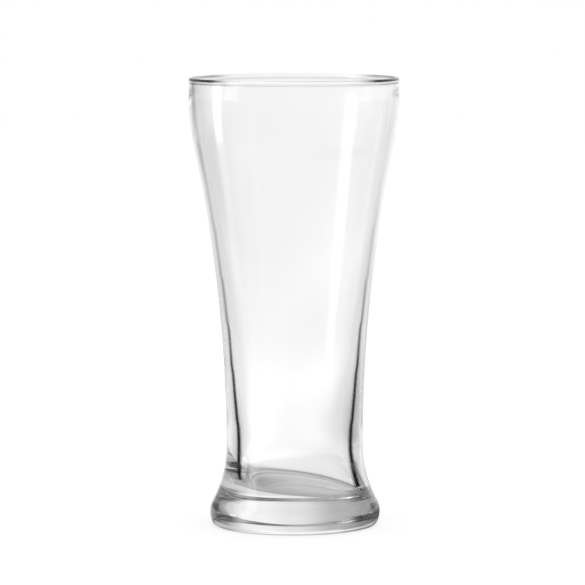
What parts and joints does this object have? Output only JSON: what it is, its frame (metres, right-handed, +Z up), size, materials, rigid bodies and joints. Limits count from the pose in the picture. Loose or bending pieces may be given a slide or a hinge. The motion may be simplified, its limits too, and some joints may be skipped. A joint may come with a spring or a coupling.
{
  "type": "pilsner glass",
  "caption": "Clear beer glass with a wide mouth, a body that flares up from a narrow waist, and a heavy solid rounded base that it stands on.",
  "frame": {"origin": "middle of the flat ring that the glass stands on, on the table's plane", "axes": "+Z up along the axis of the glass, from the base to the rim; +X towards the side where the floor of the drink lies lowest, which is on the right in the picture; -Y towards the picture's camera"},
  "size_m": [0.077, 0.077, 0.1645],
  "materials": {
    "clear_glass": "clear, fire-polished"
  },
  "bodies": {
    "root": {"base": "clear_glass", "bowl": "clear_glass", "rim": "clear_glass"}
  },
  "joints": []
}
